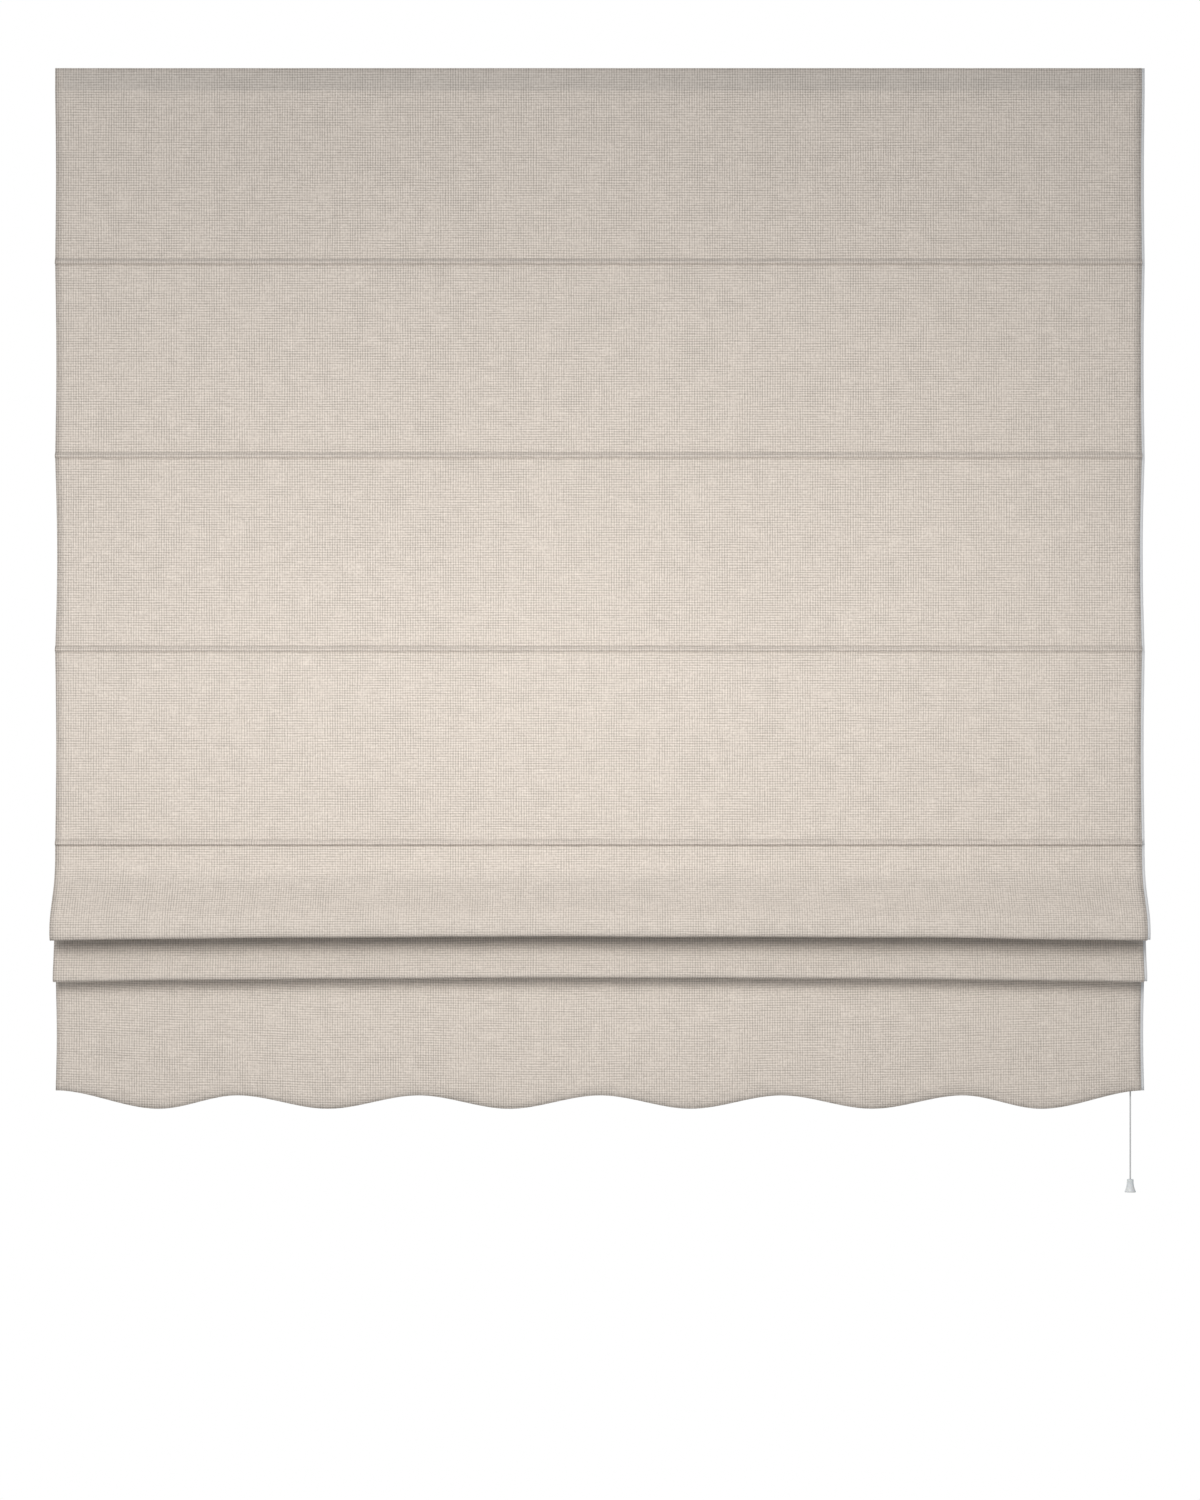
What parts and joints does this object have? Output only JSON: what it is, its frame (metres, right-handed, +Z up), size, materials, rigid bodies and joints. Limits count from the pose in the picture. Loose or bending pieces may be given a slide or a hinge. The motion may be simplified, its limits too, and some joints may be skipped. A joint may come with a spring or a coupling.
{
  "type": "roman blind",
  "caption": "Roman blind on an aluminium headrail: tucked linen panels with rods, two gathered folds, a scalloped hem and a corded bell pull.",
  "frame": {"origin": "on the wall face of the brackets, at the centre of their four screw holes", "axes": "+X along the headrail, to the right as seen from the room; +Y into the wall; +Z up"},
  "size_m": [1.3, 0.0794, 1.3425],
  "materials": {
    "linen": "matte",
    "tape": "matte",
    "rail": "satin",
    "bracket_steel": "satin",
    "white_plastic": "satin",
    "ring_plastic": "gloss",
    "rod_fibreglass": "satin",
    "bar_aluminium": "satin",
    "cord": "matte",
    "pin_steel": "satin"
  },
  "bodies": {
    "root": {"headrail": "rail", "hook_tape": "tape", "loop_tape": "tape", "upper_fabric": "linen", "upper_fold_fabric": "linen", "end_cap_left": "white_plastic", "end_cap_right": "white_plastic", "bracket_left": "bracket_steel", "bracket_right": "bracket_steel", "rod_1": "rod_fibreglass", "rod_2": "rod_fibreglass", "rod_3": "rod_fibreglass", "rod_4": "rod_fibreglass", "rings_1": "ring_plastic", "rings_2": "ring_plastic", "rings_3": "ring_plastic", "rings_4": "ring_plastic", "guide_cradle_1": "white_plastic", "guide_cradle_2": "white_plastic", "guide_cradle_3": "white_plastic", "guide_cradle_4": "white_plastic", "guide_pin_1": "pin_steel", "guide_pin_2": "pin_steel", "guide_pin_3": "pin_steel", "guide_pin_4": "pin_steel", "lock_body": "white_plastic", "lock_roller_pin": "pin_steel", "lock_pawl_pin": "pin_steel", "lift_cord_1": "cord", "lift_cord_2": "cord", "lift_cord_3": "cord", "lift_cord_4": "cord"},
    "lower_stack": {"lower_fabric": "linen", "rod_5": "rod_fibreglass", "rings_5": "ring_plastic", "rings_6": "ring_plastic", "bottom_bar": "bar_aluminium", "cord_orbs": "white_plastic"},
    "pull": {"joiner_top": "white_plastic", "joiner_bottom": "white_plastic", "pull_cord": "cord", "cord_bell": "white_plastic", "bell_knot": "cord"},
    "guide_roller_1": {"guide_roller_1": "white_plastic"},
    "guide_roller_2": {"guide_roller_2": "white_plastic"},
    "guide_roller_3": {"guide_roller_3": "white_plastic"},
    "guide_roller_4": {"guide_roller_4": "white_plastic"},
    "lock_roller": {"lock_roller": "white_plastic"},
    "lock_pawl": {"lock_pawl": "bracket_steel"},
    "cam_left": {"bracket_cam_left": "bracket_steel"},
    "cam_right": {"bracket_cam_right": "bracket_steel"}
  },
  "joints": [
    {"name": "lift", "type": "slide", "parent": "root", "child": "lower_stack", "axis": [0, 0, 1], "range_m": [-0.19, 0.034], "deforming": ["upper_fold_fabric", "lift_cord_1", "lift_cord_2", "lift_cord_3", "lift_cord_4"]},
    {"name": "pull_slide", "type": "slide", "parent": "root", "child": "pull", "axis": [0, 0, 1], "range_m": [-0.034, 0.19]},
    {"name": "guide_roller_spin_1", "type": "hinge", "parent": "root", "child": "guide_roller_1", "pos_m": [-0.5651, -0.0203, -0.004], "axis": [0, 1, 0], "range_deg": [-2300, 450]},
    {"name": "guide_roller_spin_2", "type": "hinge", "parent": "root", "child": "guide_roller_2", "pos_m": [-0.1851, -0.0203, -0.004], "axis": [0, 1, 0], "range_deg": [-2300, 450]},
    {"name": "guide_roller_spin_3", "type": "hinge", "parent": "root", "child": "guide_roller_3", "pos_m": [0.1949, -0.0203, -0.004], "axis": [0, 1, 0], "range_deg": [-2300, 450]},
    {"name": "guide_roller_spin_4", "type": "hinge", "parent": "root", "child": "guide_roller_4", "pos_m": [0.5749, -0.0203, -0.004], "axis": [0, 1, 0], "range_deg": [-2300, 450]},
    {"name": "lock_roller_spin", "type": "hinge", "parent": "root", "child": "lock_roller", "pos_m": [0.6272, -0.0203, -0.00378], "axis": [0, 1, 0], "range_deg": [-2300, 450]},
    {"name": "lock_pawl_swing", "type": "hinge", "parent": "root", "child": "lock_pawl", "pos_m": [0.612, -0.0203, -0.0055], "axis": [0, 1, 0], "range_deg": [0, 25]},
    {"name": "cam_turn_left", "type": "hinge", "parent": "root", "child": "cam_left", "pos_m": [-0.48, -0.0177, 0.0152], "axis": [0, 0, 1], "range_deg": [-90, 0]},
    {"name": "cam_turn_right", "type": "hinge", "parent": "root", "child": "cam_right", "pos_m": [0.48, -0.0177, 0.0152], "axis": [0, 0, 1], "range_deg": [-90, 0]}
  ],
  "couplings": [
    {"joint": "pull_slide", "follows": "lift", "ratio": -1},
    {"joint": "guide_roller_spin_1", "follows": "lift", "rad_per_m": 204.08},
    {"joint": "guide_roller_spin_2", "follows": "lift", "rad_per_m": 204.08},
    {"joint": "guide_roller_spin_3", "follows": "lift", "rad_per_m": 204.08},
    {"joint": "guide_roller_spin_4", "follows": "lift", "rad_per_m": 204.08},
    {"joint": "lock_roller_spin", "follows": "lift", "rad_per_m": 204.08}
  ]
}
